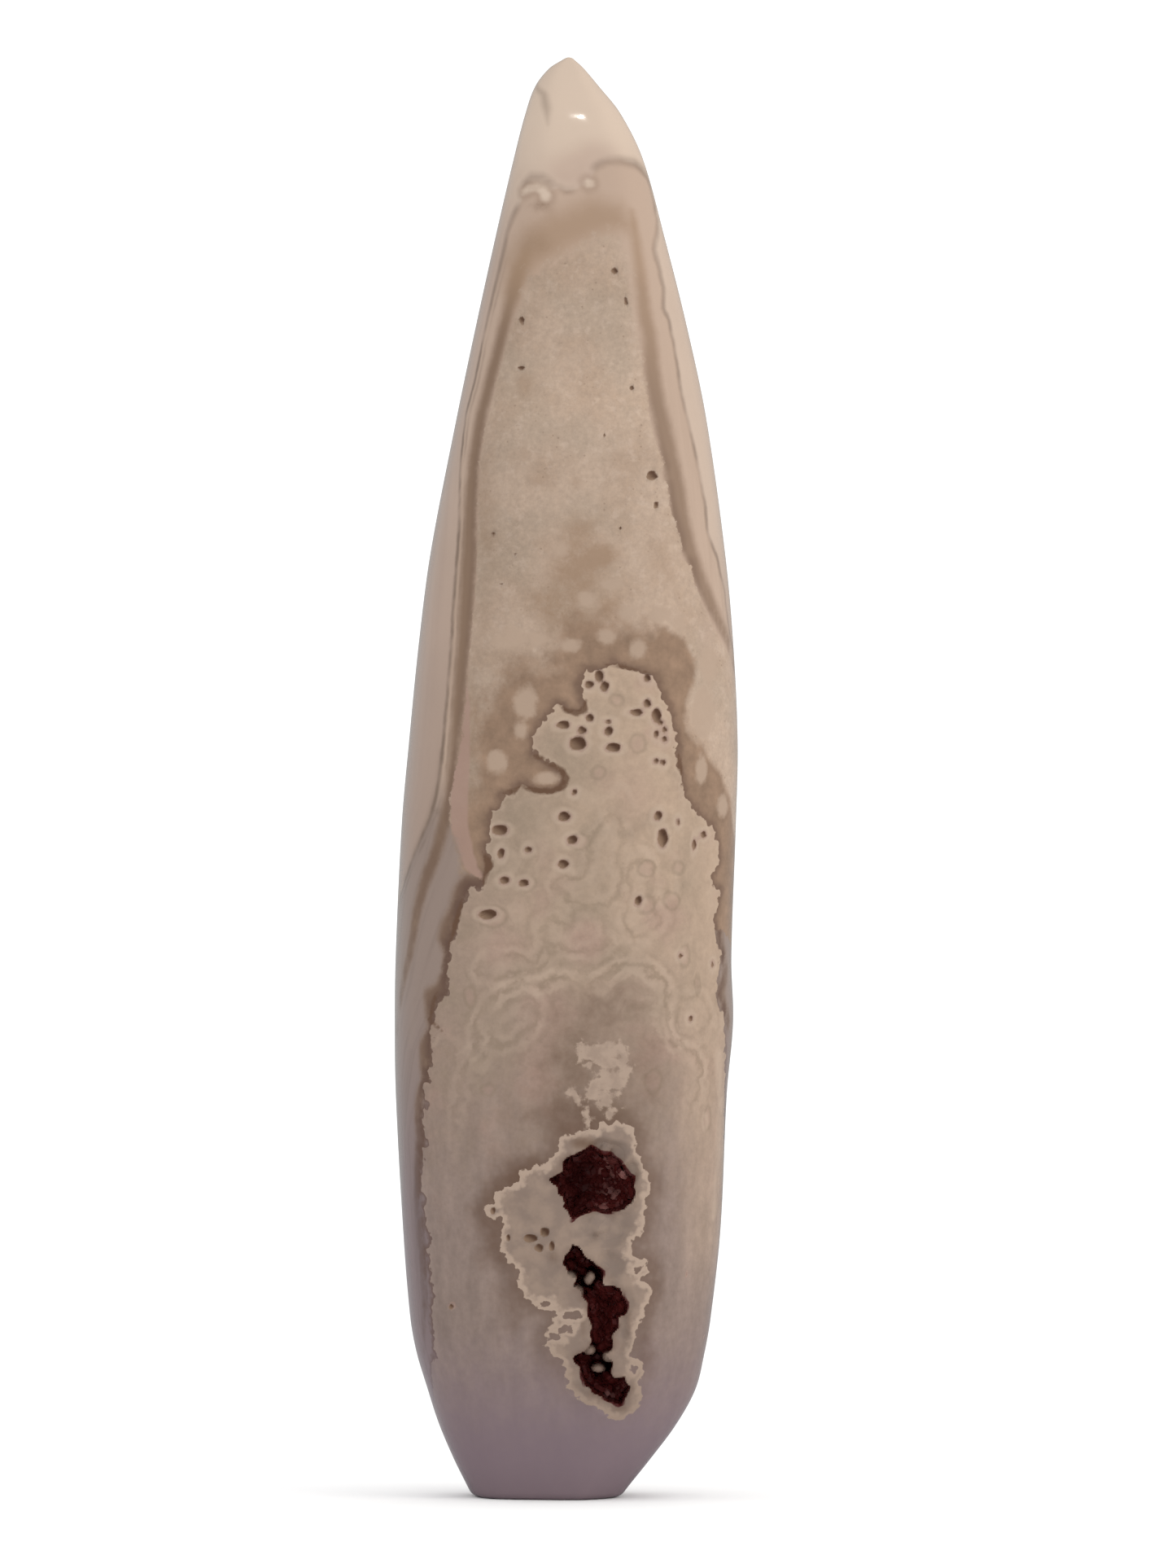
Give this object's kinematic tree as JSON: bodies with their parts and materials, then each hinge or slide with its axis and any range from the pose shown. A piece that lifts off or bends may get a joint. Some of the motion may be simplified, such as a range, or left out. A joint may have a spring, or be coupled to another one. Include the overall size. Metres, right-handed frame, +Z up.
{
  "type": "crazy lace agate flame",
  "caption": "Polished free-form agate flame that stands on a flat sawn foot, with small crystal-lined hollows in its front face.",
  "frame": {"origin": "on the ground plane, under the middle of the stone's bounding box", "axes": "+Z up along the flame to its tip, -Y towards the front face with the hollows, +X to the right seen from the front"},
  "size_m": [0.0382, 0.0296, 0.16],
  "materials": {
    "agate": "polished, banded cream, beige and brown chalcedony",
    "druse": "dark smoky red-brown quartz points, glassy"
  },
  "bodies": {
    "root": {"agate_stone": "agate", "upper_druse": "druse", "lower_druse": "druse"}
  },
  "joints": []
}
